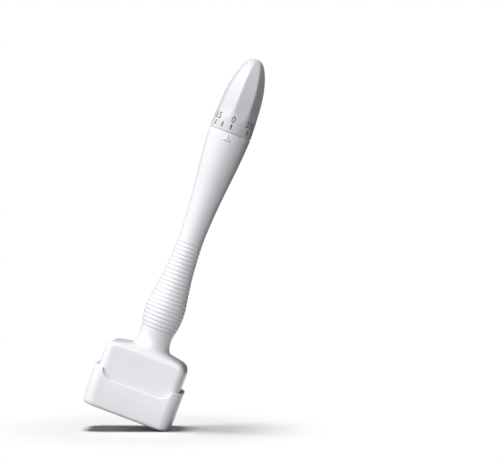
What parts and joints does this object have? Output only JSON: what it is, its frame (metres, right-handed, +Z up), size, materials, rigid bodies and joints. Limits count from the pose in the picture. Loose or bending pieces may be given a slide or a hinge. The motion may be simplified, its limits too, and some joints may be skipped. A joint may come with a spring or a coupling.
{
  "type": "derma stamp",
  "caption": "Slim white skin needling stamp with a twist depth knob at the top, a ribbed waisted grip and a rectangular needle head seated in its protective cap.",
  "frame": {"origin": "bottom centre of the protective cap, the face that the part stands on", "axes": "+Z up along the handle to the knob's tip, +X to the right along the head's long side, -Y to the front, where the pointer and the scale's zero are"},
  "size_m": [0.0396, 0.025, 0.163],
  "materials": {
    "cap_plastic": "smooth moulded white plastic",
    "handle_plastic": "smooth moulded white plastic, softly glossy",
    "knob_plastic": "smooth moulded white plastic with a printed scale",
    "plate_plastic": "fine-textured white plastic",
    "bearing_plastic": "natural low-friction plastic",
    "spring_steel": "drawn spring wire and stamped strip",
    "hard_steel": "polished",
    "rod_steel": "turned",
    "needle_steel": "polished surgical steel",
    "seal_rubber": "black rubber"
  },
  "bodies": {
    "cap": {"protective_cap": "cap_plastic"},
    "handle": {"handle_shell": "handle_plastic", "needle_guide_plate": "plate_plastic", "guide_bush": "bearing_plastic", "bearing_sleeve": "bearing_plastic", "return_spring": "spring_steel", "click_spring": "spring_steel", "click_ball": "hard_steel"},
    "knob": {"knob_shell": "knob_plastic", "drive_nut": "bearing_plastic", "knob_clip": "spring_steel", "knob_seal": "seal_rubber"},
    "carriage": {"push_rod": "rod_steel", "spring_seat_clip": "spring_steel", "carriage_yoke": "bearing_plastic", "yoke_pin": "hard_steel", "carriage_screw_left": "rod_steel", "carriage_screw_right": "rod_steel", "needle_backing_plate": "plate_plastic", "needle_block": "plate_plastic", "needles": "needle_steel"}
  },
  "joints": [
    {"name": "cap_lift", "type": "slide", "parent": "cap", "child": "handle", "axis": [0, 0, 1], "range_m": [0, 0.025]},
    {"name": "depth_turn", "type": "hinge", "parent": "handle", "child": "knob", "pos_m": [0, 0, 0.1296], "axis": [0, 0, 1], "range_deg": [0, 308.6]},
    {"name": "needle_travel", "type": "slide", "parent": "handle", "child": "carriage", "axis": [0, 0, -1], "range_m": [0, 0.003], "deforming": ["return_spring"]}
  ],
  "couplings": [
    {"joint": "depth_turn", "follows": "needle_travel", "rad_per_m": 1795.2}
  ]
}
